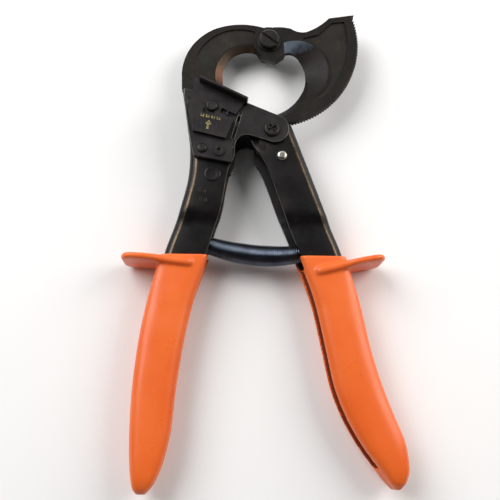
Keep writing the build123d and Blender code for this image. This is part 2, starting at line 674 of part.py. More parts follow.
with BuildPart() as release_cover:
    slab(COVER, COVER_LOW, COVER_HIGH)
    slab(FOOT, PLATE_TOP, FOOT_HIGH)
    # Joggle between the two levels, and the skirt along the right edge
    slab([(-41.2, -58.4), (-41.0, -57.0), (-23.2, -61.0), (-23.8, -62.4)], PLATE_TOP, COVER_HIGH)
    slab([(-19.5, -51.6), (-20.8, -51.1), (-25.2, -62.1), (-23.8, -62.4)], PLATE_TOP, COVER_HIGH)
    stud_slot(COVER_LOW, COVER_HIGH, STUD_HEAD_R + SLOT_GAP)
    for spot in TANG_RIVETS:
        disc(spot, PIN_R, PLATE_TOP, FOOT_HIGH, Mode.SUBTRACT)
save(release_cover.part, "release_cover")

with BuildPart() as release_spring:
    with BuildSketch(upright(21.4, 6.6, *RELEASE, RELEASE_TURN)):
        with Locations((0, 12.4)):
            Circle(1.15)
            Circle(0.75, mode=Mode.SUBTRACT)
    extrude(amount=12.4)
save(release_spring.part, "release_spring")

# ---- Return spring between the handles --------------------------------------------------------

FIXED_SEAT, MOVING_SEAT = (-38.6, -115.8), (22.8, -120.4)
SEAT_R = 1.6

for name, spot in [("fixed_spring_seat", FIXED_SEAT), ("moving_spring_seat", MOVING_SEAT)]:
    with BuildPart() as seat:
        disc(spot, SEAT_R, SHEET - NECK_HALF, NECK_HALF - SHEET)
    save(seat.part, name)

with BuildPart() as handle_return_spring:
    with BuildLine(layer(0)) as bow:
        ThreePointArc((-36.8, -116.2), (-7.2, -123.0), (21.0, -121.0))
    with BuildSketch(Plane(bow.line @ 0, z_dir=bow.line % 0)):
        Circle(4.6)
    sweep(path=bow.line)
    with BuildLine(layer(0)) as belly:
        ThreePointArc(bow.line @ 0.13, bow.line @ 0.5, bow.line @ 0.84)
    with BuildSketch(Plane(belly.line @ 0, z_dir=belly.line % 0)):
        Circle(5.9)
    sweep(path=belly.line)
save(handle_return_spring.part, "handle_return_spring")
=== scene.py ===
"""Ratchet cable cutter: detailed handles, dipped grips, coil springs and procedural finishes."""

import bmesh
import bpy
import json
from math import cos, pi, radians, sin
from mathutils import Matrix, Vector


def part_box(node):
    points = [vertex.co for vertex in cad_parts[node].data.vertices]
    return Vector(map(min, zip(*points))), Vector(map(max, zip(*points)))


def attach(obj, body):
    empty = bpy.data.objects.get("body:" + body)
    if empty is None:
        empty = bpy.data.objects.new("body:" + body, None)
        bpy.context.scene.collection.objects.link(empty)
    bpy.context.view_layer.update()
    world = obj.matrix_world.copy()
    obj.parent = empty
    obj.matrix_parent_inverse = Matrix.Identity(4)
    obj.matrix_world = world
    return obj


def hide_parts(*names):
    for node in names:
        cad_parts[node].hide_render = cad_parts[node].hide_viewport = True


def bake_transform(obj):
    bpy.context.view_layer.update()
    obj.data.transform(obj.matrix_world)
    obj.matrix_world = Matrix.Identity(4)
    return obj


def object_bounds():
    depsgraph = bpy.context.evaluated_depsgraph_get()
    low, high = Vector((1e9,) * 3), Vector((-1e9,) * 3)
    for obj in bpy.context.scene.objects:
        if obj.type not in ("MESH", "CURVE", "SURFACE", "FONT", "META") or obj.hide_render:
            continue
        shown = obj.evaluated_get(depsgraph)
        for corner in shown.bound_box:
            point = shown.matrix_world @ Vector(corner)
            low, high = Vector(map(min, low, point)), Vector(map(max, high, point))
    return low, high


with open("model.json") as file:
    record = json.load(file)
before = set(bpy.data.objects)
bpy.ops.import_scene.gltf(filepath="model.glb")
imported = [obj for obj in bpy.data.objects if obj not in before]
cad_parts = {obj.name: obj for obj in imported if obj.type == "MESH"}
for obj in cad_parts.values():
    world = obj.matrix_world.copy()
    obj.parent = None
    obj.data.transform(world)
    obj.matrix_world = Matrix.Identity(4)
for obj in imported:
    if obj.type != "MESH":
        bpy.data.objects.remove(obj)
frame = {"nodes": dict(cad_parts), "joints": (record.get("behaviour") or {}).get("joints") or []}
cad_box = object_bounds()
nodes = frame["nodes"]
JOINT = {j["name"]: j for j in frame["joints"]}
JAW = Vector(JOINT["jaw_hinge"]["pos_m"])
MM = 0.001


def at(x, y, z=0.0):
    """The place at these millimetres from the jaw pivot, which the outlines below are given in."""
    return JAW + Vector((x, y, z)) * MM


# ---- Materials --------------------------------------------------------------------------------

LIMITS = ("From Min", "From Max", "To Min", "To Max")  # the sockets of a map range node


class Graph:
    """Adds nodes to a material in few words."""

    def __init__(self, name):
        self.material = bpy.data.materials.new(name)
        self.material.use_nodes = True
        self.tree = self.material.node_tree
        self.shader = self.tree.nodes["Principled BSDF"]
        self.place = self.tree.nodes.new("ShaderNodeTexCoord").outputs["Object"]

    def add(self, kind, **values):
        node = self.tree.nodes.new(kind)
        for key, value in values.items():
            setattr(node, key, value)
        return node

    def link(self, out, into):
        self.tree.links.new(out, into)

    def mapped(self, scale, turn=(0, 0, 0)):
        node = self.add("ShaderNodeMapping")
        node.inputs["Scale"].default_value = scale
        node.inputs["Rotation"].default_value = turn
        self.link(self.place, node.inputs["Vector"])
        return node.outputs["Vector"]

    def noise(self, scale, detail=4.0, rough=0.55, vector=None):
        node = self.add("ShaderNodeTexNoise")
        node.inputs["Scale"].default_value = scale
        node.inputs["Detail"].default_value = detail
        node.inputs["Roughness"].default_value = rough
        self.link(vector or self.place, node.inputs["Vector"])
        return node.outputs["Fac"]

    def span(self, value, low, high, to_low=0.0, to_high=1.0):
        node = self.add("ShaderNodeMapRange")
        for key, number in zip(LIMITS, (low, high, to_low, to_high)):
            node.inputs[key].default_value = number
        self.link(value, node.inputs["Value"])
        return node.outputs["Result"]

    def ramp(self, value, stops):
        node = self.add("ShaderNodeValToRGB")
        marks = node.color_ramp.elements
        while len(marks) < len(stops):
            marks.new(0.5)
        for mark, (where, colour) in zip(marks, stops):
            mark.position = where
            mark.color = (*colour, 1.0)
        self.link(value, node.inputs["Fac"])
        return node.outputs["Color"]

    def blend(self, amount, first, second):
        node = self.add("ShaderNodeMix", data_type="RGBA")
        self.link(amount, node.inputs["Factor"])
        for key, colour in (("A", first), ("B", second)):
            socket = [s for s in node.inputs if s.name == key and s.type == "RGBA"][0]
            if isinstance(colour, tuple):
                socket.default_value = (*colour, 1.0)
            else:
                self.link(colour, socket)
        return [s for s in node.outputs if s.type == "RGBA"][0]

    def times(self, first, second):
        node = self.add("ShaderNodeMath", operation="MULTIPLY")
        for socket, value in zip(node.inputs, (first, second)):
            if isinstance(value, float):
                socket.default_value = value
            else:
                self.link(value, socket)
        return node.outputs["Value"]

    def bump(self, height, strength, distance):
        node = self.add("ShaderNodeBump")
        node.inputs["Strength"].default_value = strength
        node.inputs["Distance"].default_value = distance
        self.link(height, node.inputs["Height"])
        self.link(node.outputs["Normal"], self.shader.inputs["Normal"])

    def finish(self, colour, roughness, metallic, specular=0.5):
        self.link(colour, self.shader.inputs["Base Color"])
        self.link(roughness, self.shader.inputs["Roughness"])
        self.shader.inputs["Metallic"].default_value = metallic
        self.shader.inputs["Specular IOR Level"].default_value = specular
        return self.material


def steel(name, dark, light, rough, metallic, mottle=55.0, scratch=0.5, rust=None, rust_share=0.0, turn=0.4):
    """Treated steel: cloudy colour, fine scratches, pitting, and rust blooms where asked for."""
    g = Graph(name)
    cloud = g.noise(mottle, 5.0, 0.62)
    colour = g.ramp(cloud, [(0.32, dark), (0.74, light)])
    if rust:
        bloom = g.noise(mottle * 1.7, 7.0, 0.7)
        spread = g.span(bloom, 0.62 - 0.25 * rust_share, 0.78 - 0.2 * rust_share)
        colour = g.blend(g.times(spread, rust_share), colour, rust)
    hair = g.noise(1.0, 3.0, 0.6, g.mapped((2600, 90, 400), (0, 0, turn)))
    cross = g.noise(1.0, 3.0, 0.6, g.mapped((110, 2400, 400), (0, 0, turn + 0.5)))
    lines = g.times(g.span(hair, 0.56, 0.74), g.span(cross, 0.42, 0.62))
    pale = tuple(min(1.0, 2.6 * c + 0.02) for c in light)
    colour = g.blend(g.times(lines, scratch), colour, pale)
    grain = g.noise(1500.0, 4.0, 0.7)
    shine = g.span(g.noise(mottle * 3.1, 6.0, 0.65), 0.3, 0.7, rough[0], rough[1])
    g.bump(grain, 0.22, 0.00012)
    return g.finish(colour, shine, metallic, specular=0.3)


BLADE = steel("blade_black", (0.0065, 0.0055, 0.0045), (0.017, 0.014, 0.011), (0.38, 0.58), 0.45,
              rust=(0.060, 0.030, 0.016), rust_share=0.35)
BLADE_FIELD = steel("blade_pressed_field", (0.011, 0.0095, 0.0073), (0.028, 0.025, 0.019), (0.42, 0.62), 0.4,
                    mottle=75.0, scratch=0.3, rust=(0.07, 0.04, 0.02), rust_share=0.3)
PLATE = steel("plate_black", (0.012, 0.0105, 0.0115), (0.032, 0.028, 0.028), (0.36, 0.56), 0.45, mottle=80.0,
              rust=(0.06, 0.038, 0.026), rust_share=0.25, turn=-0.4)
ENAMEL = steel("handle_enamel", (0.0028, 0.0024, 0.0026), (0.0085, 0.0066, 0.0064), (0.26, 0.44), 0.25,
               mottle=40.0, scratch=0.35, rust=(0.045, 0.024, 0.014), rust_share=0.3, turn=1.2)
FASTENER = steel("fastener_dark", (0.014, 0.013, 0.012), (0.045, 0.041, 0.037), (0.28, 0.46), 0.7,
                 mottle=160.0)
PAWL = steel("pawl_ground", (0.06, 0.06, 0.06), (0.14, 0.13, 0.125), (0.25, 0.4), 0.9, mottle=140.0)
BRONZE = steel("bush_bronze", (0.24, 0.13, 0.05), (0.42, 0.26, 0.11), (0.25, 0.4), 1.0, mottle=200.0)
# Edge bevel finish: worn metal, made light enough that these edges also carry a painted highlight
EDGE_WEAR_HIGHLIGHT = steel("edge_wear_painted_highlight", (0.055, 0.053, 0.049), (0.19, 0.18, 0.165), (0.28, 0.45), 0.2, mottle=220.0)
EDGE_WEAR_FAINT = steel("edge_wear_faint", (0.030, 0.025, 0.021), (0.11, 0.092, 0.075), (0.3, 0.5), 0.5,
                  mottle=220.0)
# A light brownish strip of painted highlight along each channel's outer bend, where the light catches the
# rounded edge
BEND_HIGHLIGHT = steel("bend_painted_highlight", (0.040, 0.026, 0.015), (0.15, 0.105, 0.062), (0.22, 0.36), 0.7, mottle=90.0,
               scratch=0.6, turn=1.2)
WIRE = steel("spring_wire", (0.050, 0.060, 0.082), (0.13, 0.155, 0.20), (0.14, 0.26), 0.95, mottle=120.0,
             scratch=0.25)


def bright_rivet():
    g = Graph("rivet_zinc")
    colour = g.ramp(g.noise(320.0, 5.0), [(0.35, (0.42, 0.40, 0.36)), (0.7, (0.78, 0.76, 0.70))])
    g.bump(g.noise(900.0, 3.0), 0.12, 0.0001)
    return g.finish(colour, g.span(g.noise(600.0, 4.0), 0.3, 0.7, 0.16, 0.32), 1.0)


def ground_edge(name, upper_tint_and_sheen, copper, low, high, metallic, rough, lean=0.0):
    """Ground steel coloured by height, from its upper colours at the top to coppery rust lower down; on the
    crescent the pale bluish top is a painted reflection.
    """
    g = Graph(name)
    split = g.add("ShaderNodeSeparateXYZ")
    g.link(g.mapped((1, 1, 1), (0, 0, lean)), split.inputs["Vector"])
    height = g.span(split.outputs["Y"], low, high)
    wobble = g.noise(90.0, 6.0, 0.65)
    mixed = g.add("ShaderNodeMath", operation="MULTIPLY_ADD")
    g.link(wobble, mixed.inputs[0])
    mixed.inputs[1].default_value = 0.7
    g.link(g.span(height, 0.0, 1.0, -0.35, 0.65), mixed.inputs[2])
    stops = [(0.18, copper[1]), (0.42, copper[0]), (0.56, upper_tint_and_sheen[0]), (0.80, upper_tint_and_sheen[1])]
    colour = g.ramp(mixed.outputs["Value"], stops)
    hair = g.noise(1.0, 2.0, 0.6, g.mapped((1900, 220, 500), (0, 0, 0.9)))
    pits = g.noise(700.0, 6.0, 0.7)
    colour = g.blend(g.times(g.span(pits, 0.60, 0.72), 0.6), colour, (0.03, 0.02, 0.015))
    g.bump(hair, 0.25, 0.0001)
    return g.finish(colour, g.span(pits, 0.3, 0.7, *rough), metallic, specular=0.25)


def vinyl(name, low, high):
    """Dipped vinyl: slight waviness, fine pores, faint dirt, and a soft depth to the colour."""
    g = Graph(name)
    cloud = g.noise(34.0, 4.0, 0.5)
    colour = g.ramp(cloud, [(0.3, low), (0.72, high)])
    smudge = g.span(g.noise(120.0, 7.0, 0.72), 0.60, 0.80)
    colour = g.blend(g.times(smudge, 0.06), colour, (0.50, 0.085, 0.025))
    speck = g.span(g.noise(1500.0, 2.0, 0.5), 0.72, 0.78)
    colour = g.blend(g.times(speck, 0.08), colour, (0.30, 0.06, 0.02))
    wave = g.noise(70.0, 2.0, 0.4)
    pore = g.noise(1300.0, 3.0, 0.6)
    height = g.add("ShaderNodeMath", operation="MULTIPLY_ADD")
    g.link(pore, height.inputs[0])
    height.inputs[1].default_value = 0.06
    g.link(wave, height.inputs[2])
    g.bump(height.outputs["Value"], 0.22, 0.0006)
    shine = g.span(g.noise(95.0, 5.0, 0.6), 0.3, 0.7, 0.25, 0.38)
    g.finish(colour, shine, 0.0, specular=0.45)
    g.shader.inputs["Subsurface Weight"].default_value = 0.12
    g.shader.inputs["Subsurface Radius"].default_value = (1.0, 0.35, 0.15)
    g.shader.inputs["Subsurface Scale"].default_value = 0.0015
    return g.material


def paint():
    g = Graph("marking_paint")
    wear = g.span(g.noise(700.0, 6.0, 0.7), 0.42, 0.60)
    colour = g.blend(wear, (0.30, 0.25, 0.075), (0.06, 0.052, 0.028))
    g.bump(g.noise(1200.0, 3.0), 0.2, 0.0001)
    return g.finish(colour, g.span(g.noise(500.0), 0.3, 0.7, 0.5, 0.7), 0.0)


RIVET = bright_rivet()
MARK = paint()
VINYL = vinyl("dipped_vinyl", (0.82, 0.130, 0.018), (0.88, 0.172, 0.032))
# A darker copy of the vinyl: painted shade for the faces inside the groove, where little light reaches
VINYL_GROOVE_SHADE = vinyl("dipped_vinyl_painted_groove_shade", (0.20, 0.026, 0.006), (0.27, 0.038, 0.009))
HOOK_GRIND = ground_edge("hook_grind", ((0.10, 0.050, 0.030), (0.05, 0.032, 0.022)),
                         ((0.12, 0.058, 0.034), (0.040, 0.022, 0.014)), JAW.y - 0.030, JAW.y - 0.006,
                         0.6, (0.28, 0.50))
# The crescent's ground bevel: dark steel with a pale bluish top that is a painted reflection
CRESCENT_GRIND_SHEEN = ground_edge("crescent_grind_painted_sheen", ((0.010, 0.0095, 0.009), (0.115, 0.140, 0.180)),
                             ((0.017, 0.0105, 0.0075), (0.011, 0.009, 0.008)), 0.071, 0.094,
                             0.35, (0.36, 0.58), lean=-0.5)

# ---- Mesh helpers -----------------------------------------------------------------------------


def mesh_piece(name, points, faces, material, smooth=True):
    data = bpy.data.meshes.new(name)
    data.from_pydata([tuple(p) for p in points], [], faces)
    data.update()
    piece = bpy.data.objects.new(name, data)
    bpy.context.scene.collection.objects.link(piece)
    data.materials.append(material)
    if smooth:
        data.shade_smooth()
    return piece


def loft(name, rings, material):
    """Joins closed rings of equal length into a capped tube, with its faces outward."""
    n = len(rings[0])
    points = [p for ring in rings for p in ring]
    faces = []
    for k in range(len(rings) - 1):
        for i in range(n):
            j = (i + 1) % n
            faces.append((k * n + i, k * n + j, (k + 1) * n + j, (k + 1) * n + i))
    faces.append(tuple(reversed(range(n))))
    faces.append(tuple(range((len(rings) - 1) * n, len(rings) * n)))
    piece = mesh_piece(name, points, faces, material)
    face_out(piece.data)
    return piece


def face_out(data):
    work = bmesh.new()
    work.from_mesh(data)
    bmesh.ops.recalc_face_normals(work, faces=work.faces)
    work.to_mesh(data)
    work.free()


def bake(piece):
    """Applies the modifiers to the piece's mesh."""
    bpy.context.view_layer.update()
    graph = bpy.context.evaluated_depsgraph_get()
    baked = bpy.data.meshes.new_from_object(piece.evaluated_get(graph))
    piece.modifiers.clear()
    piece.data = baked


def discard(piece):
    bpy.data.objects.remove(piece)


def prism(points, low, high):
    """A temporary cutter of polygonal outline."""
    n = len(points)
    corners = [at(x, y, low) for x, y in points] + [at(x, y, high) for x, y in points]
    faces = [tuple(range(n)), tuple(range(n, 2 * n))]
    faces += [(i, (i + 1) % n, n + (i + 1) % n, n + i) for i in range(n)]
    piece = mesh_piece("cutter", corners, faces, MARK, smooth=False)
    face_out(piece.data)
    return piece


def cut(piece, cutters):
    for cutter in cutters:
        step = piece.modifiers.new("cut", "BOOLEAN")
        step.operation = "DIFFERENCE"
        step.solver = "EXACT"
        step.object = cutter
        bake(piece)
        discard(cutter)


def round_edges(piece, width, limit, segments, edge_wear_and_highlight):
    """Rounds edges sharper than limit degrees; the last argument, if any, is the material that shows on them:
    worn metal, which on the brighter edge material is also a painted highlight.
    """
    step = piece.modifiers.new("edges", "BEVEL")
    step.width = width * MM
    step.segments = segments
    step.limit_method = "ANGLE"
    step.angle_limit = radians(limit)
    if edge_wear_and_highlight:
        piece.data.materials.append(edge_wear_and_highlight)
        step.material = len(piece.data.materials) - 1
    return piece


def tame(values):
    """Slopes for a smooth curve through rows that doesn't overshoot them."""
    slopes = []
    last = len(values) - 1
    for k, (y, v) in enumerate(values):
        if k in (0, last):
            a, b = (0, 1) if k == 0 else (last - 1, last)
            slopes.append((values[b][1] - values[a][1]) / (values[b][0] - values[a][0]))
            continue
        before = (v - values[k - 1][1]) / (y - values[k - 1][0])
        after = (values[k + 1][1] - v) / (values[k + 1][0] - y)
        slopes.append(0.0 if before * after <= 0 else 2 * before * after / (before + after))
    return slopes


def finer(rows, step):
    """More rows between the given ones, on smooth curves against their first column."""
    columns = list(zip(*rows))
    slopes = [tame(list(zip(columns[0], column))) for column in columns[1:]]
    result = []
    for k in range(len(rows) - 1):
        y0, y1 = rows[k][0], rows[k + 1][0]
        count = max(1, round(abs(y1 - y0) / step))
        for i in range(count + (k == len(rows) - 2)):
            t = i / count
            h = y1 - y0
            row = [y0 + t * h]
            for column, slope in zip(columns[1:], slopes):
                a, b = column[k], column[k + 1]
                row.append(
                    (1 + 2 * t) * (1 - t) ** 2 * a
                    + t * (1 - t) ** 2 * h * slope[k]
                    + t * t * (3 - 2 * t) * b
                    + t * t * (t - 1) * h * slope[k + 1]
                )
            result.append(tuple(row))
    return result


def coil(name, centre_line, radius_at, wire, turns, material, spokes, sides):
    """A helix of wire, in metres, round a line: centre_line(t) and radius_at(t) for t from 0 to 1."""
    total = int(turns * spokes)
    path = []
    for k in range(total + 1):
        t = k / total
        here, ahead = centre_line(t), centre_line(min(1.0, t + 0.002))
        if t > 0.997:
            here, ahead = centre_line(t), centre_line(t) + (centre_line(t) - centre_line(t - 0.002))
        along = (ahead - here).normalized()
        side = along.cross(Vector((0, 0, 1))).normalized()
        up = side.cross(along)
        turn = 2 * pi * turns * t
        path.append(here + (side * cos(turn) + up * sin(turn)) * radius_at(t))
    rings = []
    for k, here in enumerate(path):
        along = (path[min(k + 1, total)] - path[max(k - 1, 0)]).normalized()
        side = along.cross(Vector((0, 0, 1))).normalized()
        up = side.cross(along)
        swell = wire / 2
        if k in (0, total):
            swell *= 0.7
        rings.append([here + (side * cos(a) + up * sin(a)) * swell
                      for a in (2 * pi * i / sides for i in range(sides))])
    return loft(name, rings, material)


# ---- Pressed channels -------------------------------------------------------------------------

SHEET, BEND = 2.0, 4.2
NECK, HEAD, MOVING = 6.8, 9.0, 8.7  # half widths of the channels from front to back
COAT = 1.8  # vinyl on the steel
TAIL_GAP, TAIL_STEP, TAIL_BACK = 1.6, 0.8, 3.0  # how much smaller the hidden tail is
ROW_STEP = 2.5
CUT_HALF = 13
BEVEL_ANGLE = 40.0
FIXED_STEEL = [(-28.0, -48.2, -17.0, HEAD), (-70.0, -42.8, -18.6, HEAD), (-77.0, -43.0, -21.5, HEAD),
               (-100.0, -47.6, -25.7, HEAD), (-107.5, -49.9, -28.1, NECK), (-124.0, -55.4, -33.0, NECK)]
MOVING_STEEL = [(-49.0, 11.6, -7.6, MOVING), (-66.5, 17.9, -7.6, MOVING), (-75.5, 21.2, -3.4, MOVING),
                (-101.0, 30.4, 5.8, MOVING), (-108.5, 33.1, 8.6, NECK), (-124.0, 39.0, 14.8, NECK)]
FIXED_VINYL = [(-124.4, -57.2, -31.6, 8.6), (-150.0, -63.9, -39.9, 8.6), (-175.0, -67.9, -44.9, 8.6),
               (-199.0, -69.8, -48.0, 8.6), (-213.0, -70.0, -49.2, 8.6), (-226.0, -69.6, -51.8, 8.6),
               (-237.0, -68.6, -55.6, 8.0), (-242.6, -67.4, -59.2, 6.2), (-245.0, -65.6, -61.6, 3.6)]
MOVING_VINYL = [(-124.4, 14.0, 40.7, 8.6), (-149.0, 22.5, 47.9, 8.6), (-174.0, 28.0, 53.3, 8.6),
                (-192.0, 31.8, 58.6, 8.6), (-207.0, 37.4, 64.2, 8.6), (-221.0, 45.2, 69.4, 8.6),
                (-232.0, 53.2, 70.7, 8.0), (-239.2, 58.6, 68.8, 6.4), (-242.4, 61.8, 66.0, 3.6)]


def channel_ring(y, outer, inner, half, back):
    """A bent sheet's section; the front flange stops short of the rear one by back."""
    side = 1 if inner > outer else -1
    bend = 6

    def arc(radius):
        middle = (outer + side * BEND, half - BEND)
        return [(middle[0] - side * radius * sin(a), middle[1] + radius * cos(a))
                for a in (radians(90 * i / bend) for i in range(bend + 1))]

    over = arc(BEND)
    under = arc(BEND - SHEET)
    front = inner - side * back
    outside = [(front, half)] + over + [(x, -z) for x, z in reversed(over)] + [(inner, -half)]
    inside = [(front, half - SHEET)] + under + [(x, -z) for x, z in reversed(under)] + [(inner, SHEET - half)]
    return [at(x, y, z) for x, z in outside + list(reversed(inside))]


def channel(name, rows, vinyl_rows, outer_is_left, back):
    """A pressed handle from rows of height, outer edge, inner edge and half width."""
    y, left, right = vinyl_rows[1][:3]
    inset = COAT + TAIL_GAP
    edges = (left + inset, right - inset) if outer_is_left else (right - inset, left + inset)
    tail = [(y, *edges, NECK - TAIL_STEP, TAIL_BACK)]
    rings = [channel_ring(*row) for row in finer([(*row, back) for row in rows] + tail, ROW_STEP)]
    piece = loft(name, rings, ENAMEL)
    piece.data.materials.append(BEND_HIGHLIGHT)
    per_ring = len(rings[0])
    # The faces of the outer bend next to the front flange take the painted highlight
    for face in piece.data.polygons:
        if len(face.vertices) == 4 and {v % per_ring for v in face.vertices} == {1, 2}:
            face.material_index = 1
    return piece


fixed_channel = channel("fixed_channel", FIXED_STEEL, FIXED_VINYL, True, 0.3)
cut(fixed_channel, [prism([(-60, -20), (-5, -20), (-5, -50), (-49, -30)], -CUT_HALF, CUT_HALF)])
moving_channel = channel("moving_channel", MOVING_STEEL, MOVING_VINYL, False, 2.0)
crest = [(1.1 + 10.2 * cos(radians(a)), -56.8 + 9.0 * sin(radians(a))) for a in range(180, 89, -10)]
crest += [(8.0, -49.6), (13.4, -51.6), (16.0, -40.0), (-12.0, -40.0)]
cut(moving_channel, [prism(crest, -CUT_HALF, CUT_HALF)])
for piece, node, body in ((fixed_channel, "fixed_handle", "frame"),
                          (moving_channel, "moving_handle", "lever")):
    round_edges(piece, 0.45, BEVEL_ANGLE, 3, EDGE_WEAR_FAINT)
    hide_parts(node)
    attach(piece, body)

# ---- Pressed boss and marks on the fixed handle -----------------------------------------------

BOSS = (-30.6, -80.6)
BOSS_PROFILE = [(4.5, 8.9), (4.4, 9.02), (4.0, 9.26), (3.4, 9.33), (2.6, 9.20), (2.0, 9.14)]
STAMPS = [(-37.2, -89.6, 2.2), (-34.6, -90.4, 1.5), (-36.6, -94.6, 2.6), (-34.0, -95.2, 1.7)]
STAMP_SHAPE = ((-0.55, -0.5), (0.55, -0.5), (0.75, 0.5), (-0.35, 0.5))
STAMP_FOOT, STAMP_TOP = 8.95, 9.18


def boss_ring(radius, z):
    angles = [2 * pi * i / 48 for i in range(48)]
    return [at(BOSS[0] + radius * cos(a), BOSS[1] + radius * sin(a), z) for a in angles]


pressed = [loft("pressed_boss", [boss_ring(radius, z) for radius, z in BOSS_PROFILE], ENAMEL)]
for k, (x, y, tall) in enumerate(STAMPS):
    corners = [(x + u, y + v * tall) for u, v in STAMP_SHAPE]
    mark = prism(corners, STAMP_FOOT, STAMP_TOP)
    mark.name = mark.data.name = f"pressed_mark_{k}"
    mark.data.materials.clear()
    mark.data.materials.append(ENAMEL)
    pressed.append(round_edges(mark, 0.12, BEVEL_ANGLE, 2, EDGE_WEAR_FAINT))
for piece in pressed:
    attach(piece, "frame")

# ---- Dipped grips -----------------------------------------------------------------------------

CROWN_FROM, CROWN_OVER = -126.0, 25.0  # where the square section turns into the crowned one
GROOVE_ROWS = 7  # the rows that the groove runs past
GROOVE_HALF, RELIEF_HALF = 3.0, 4.8
RELIEF_TOP, RELIEF_FOOT = -118.0, -131.0  # the wider mouth that the channel enters by
MOUTH_OUT, GROOVE_RISE = 6.0, 4
SHADE_HALF, SHADE_FROM, SHADE_TO, SHADE_DROP = 3.6, 0.9, 13.0, 1.5  # the groove faces painted in the darker vinyl as shade


def grip_ring(y, left, right, half, inner_side, lip, lip_low):
    """Square like the steel at the top, crowned lower down; the front lobe stands back by the lips."""
    middle, wide = (left + right) / 2, (right - left) / 2
    low = min(1.0, max(0.0, (CROWN_FROM - y) / CROWN_OVER))
    back = lip * (1 - low) + lip_low * low
    ring = []
    for i in range(44):
        a = 2 * pi * i / 44
        u, v = cos(a), sin(a)
        x = abs(u) ** (0.28 + 0.32 * low) * (1 if u > 0 else -1) * wide
        z = abs(v) ** (0.26 + 0.28 * low) * (1 if v > 0 else -1) * half
        if x * inner_side > 0 and z > 0:
            x -= inner_side * back * min(1.0, 2 * abs(x) / wide) * min(1.0, 3 * z / half)
        ring.append(at(middle + x, y, z))
    return ring


def guard_rings(root, reach, turn, side, droop):
    """A fin that stands out from the handle and dies away as a ridge over both faces."""
    rings = []
    heading = Vector((cos(radians(turn)), sin(radians(turn)), 0)) * side
    across = Vector((-heading.y, heading.x, 0))
    stations = [(-18.0, 8.2, 1.2), (-17.4, 9.7, 2.1), (-15.6, 10.5, 2.6), (-10.0, 10.8, 2.5),
                (-4.0, 10.8, 2.4), (0.0, 11.4, 2.2), (4.0, 12.6, 2.0), (9.0, 13.0, 2.0),
                (reach - 5.0, 12.9, 2.0), (reach - 2.4, 11.9, 1.9), (reach - 0.9, 10.0, 1.5),
                (reach - 0.2, 7.8, 0.8)]
    for along, tall, thick in stations:
        bow = droop * (max(0.0, along) / reach) ** 2
        centre = at(*root) + heading * along * MM + across * bow * MM
        ring = []
        for i in range(24):
            a = 2 * pi * i / 24
            u, v = cos(a), sin(a)
            u = abs(u) ** 0.6 * (1 if u > 0 else -1)
            v = abs(v) ** 0.35 * (1 if v > 0 else -1)
            ring.append(centre + across * u * thick * MM + Vector((0, 0, v * tall * MM)))
        rings.append(ring)
    return rings


def grip(name, rows, groove_side, lips, guard):
    """A dipped grip with its groove and its finger guard, fused into one skin."""
    body = loft(name, [grip_ring(*row, groove_side, *lips) for row in finer(rows, ROW_STEP)], VINYL)
    grooved = rows[:GROOVE_ROWS]
    near, far = (2, 1) if groove_side > 0 else (1, 2)
    mouth = [(row[near] + groove_side * MOUTH_OUT, row[0]) for row in grooved]
    floor = [(row[far] + groove_side * (2 * COAT + SHEET), row[0]) for row in grooved]
    top = rows[0][0] + GROOVE_RISE
    mouth[0], floor[0] = (mouth[0][0], top), (floor[0][0], top)
    groove = mouth + list(reversed(floor))
    low, high = min(mouth[0][0], floor[0][0]), max(mouth[0][0], floor[0][0])
    relief = [(low, RELIEF_TOP), (high, RELIEF_TOP), (high, RELIEF_FOOT), (low, RELIEF_FOOT)]
    cut(body, [prism(groove, -GROOVE_HALF, GROOVE_HALF), prism(relief, -RELIEF_HALF, RELIEF_HALF)])
    fin = loft("fin", guard_rings(*guard), VINYL)
    cut(fin, [prism(groove, -RELIEF_HALF, RELIEF_HALF)])
    both = bmesh.new()
    both.from_mesh(body.data)
    both.from_mesh(fin.data)
    both.to_mesh(body.data)
    both.free()
    discard(fin)
    step = body.modifiers.new("skin", "REMESH")
    step.mode = "VOXEL"
    step.voxel_size = VOXEL
    step.use_smooth_shade = True
    ease = body.modifiers.new("ease", "SMOOTH")
    ease.factor = 0.5
    ease.iterations = 7
    bake(body)
    # The faces inside the groove, near its mouth, take the darker vinyl as painted shade
    body.data.materials.append(VINYL_GROOVE_SHADE)
    edge = finer([(row[0], row[near]) for row in grooved], 1.0)
    highest, lowest = grooved[0][0] - SHADE_DROP, grooved[-1][0]
    for face in body.data.polygons:
        spot = (face.center - JAW) * 1000
        here = edge[min(len(edge) - 1, max(0, round(edge[0][0] - spot.y)))][1]
        depth = (here - spot.x) * groove_side
        if abs(spot.z) < SHADE_HALF and SHADE_FROM < depth < SHADE_TO and lowest < spot.y < highest:
            face.material_index = 1
    return body


VOXEL = 0.00055
fixed_grip = grip("fixed_grip", FIXED_VINYL, 1, (0.3, -0.6), ((-57.6, -127.2), 19.9, -6.0, -1, 1.0))
moving_grip = grip("moving_grip", MOVING_VINYL, -1, (2.0, 1.3), ((41.6, -128.8), 20.0, 14.0, 1, -1.0))
for piece, node, body in ((fixed_grip, "fixed_handle_grip", "frame"),
                          (moving_grip, "moving_handle_grip", "lever")):
    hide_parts(node)
    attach(piece, body)

# ---- Springs ----------------------------------------------------------------------------------


def bow(t):
    """Centre line of the return spring: a curve through its ends and its lowest point."""
    a, m, b = Vector((-36.8, -116.2, 0)), Vector((-7.2, -123.0, 0)), Vector((21.0, -121.0, 0))
    p = a * (2 * (t - 0.5) * (t - 1)) + m * (4 * t * (1 - t)) + b * (2 * t * (t - 0.5))
    return at(*p)


def fullness(t):
    """The return spring's radius, which tapers towards both ends."""
    return (3.85 + 1.35 * min(1.0, 2.6 * t, 2.6 * (1 - t)) ** 0.8) * MM


return_spring = coil("return_coil", bow, fullness, 0.00112, 56.5, WIRE, 18, 7)
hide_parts("handle_return_spring")
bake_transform(return_spring)


def straight(a, b):
    return lambda t: a.lerp(b, t)


